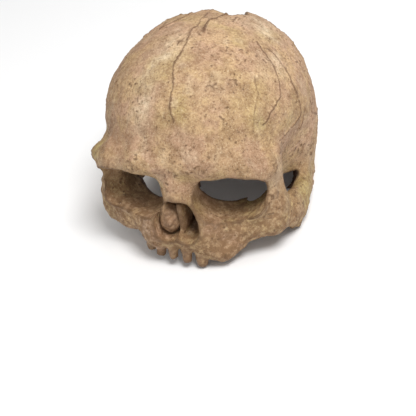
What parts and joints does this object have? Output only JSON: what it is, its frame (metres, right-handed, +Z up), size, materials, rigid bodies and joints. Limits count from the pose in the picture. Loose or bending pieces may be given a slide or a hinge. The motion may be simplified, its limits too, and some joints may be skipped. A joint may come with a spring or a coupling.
{
  "type": "skull aquarium ornament",
  "caption": "Hollow bone-look skull hide for an aquarium, without a lower jaw, with open eye sockets, open base, cheek-arch slots and a broken-out hole at the back of the crown.",
  "frame": {"origin": "middle of the footprint at the surface the skull stands on", "axes": "+X to the skull's own left, +Y to its back, +Z up; it looks along -Y"},
  "size_m": [0.1218, 0.1449, 0.1194],
  "materials": {
    "bone": "matte painted resin, ochre bone with brown wash in the pores",
    "shaded_bone": "matte painted resin, darker washed bone",
    "rosy_bone": "matte painted resin, pinkish bone",
    "tooth": "satin painted resin"
  },
  "bodies": {
    "root": {"frontal_left": "bone", "frontal_right": "bone", "parietal_left": "bone", "parietal_right": "bone", "parietal_fragment": "bone", "temporal_left": "bone", "temporal_right": "bone", "occipital_left": "shaded_bone", "occipital_right": "shaded_bone", "zygomatic_left": "bone", "zygomatic_right": "bone", "arch_left": "bone", "arch_right": "bone", "nasal_bones": "rosy_bone", "nasal_septum": "shaded_bone", "nasal_concha": "rosy_bone", "maxilla_left": "shaded_bone", "maxilla_right": "shaded_bone", "tooth_right_canine": "tooth", "tooth_right_lateral": "tooth", "tooth_right_central": "tooth", "tooth_left_central": "tooth", "tooth_left_lateral": "tooth", "tooth_left_canine": "tooth"}
  },
  "joints": []
}
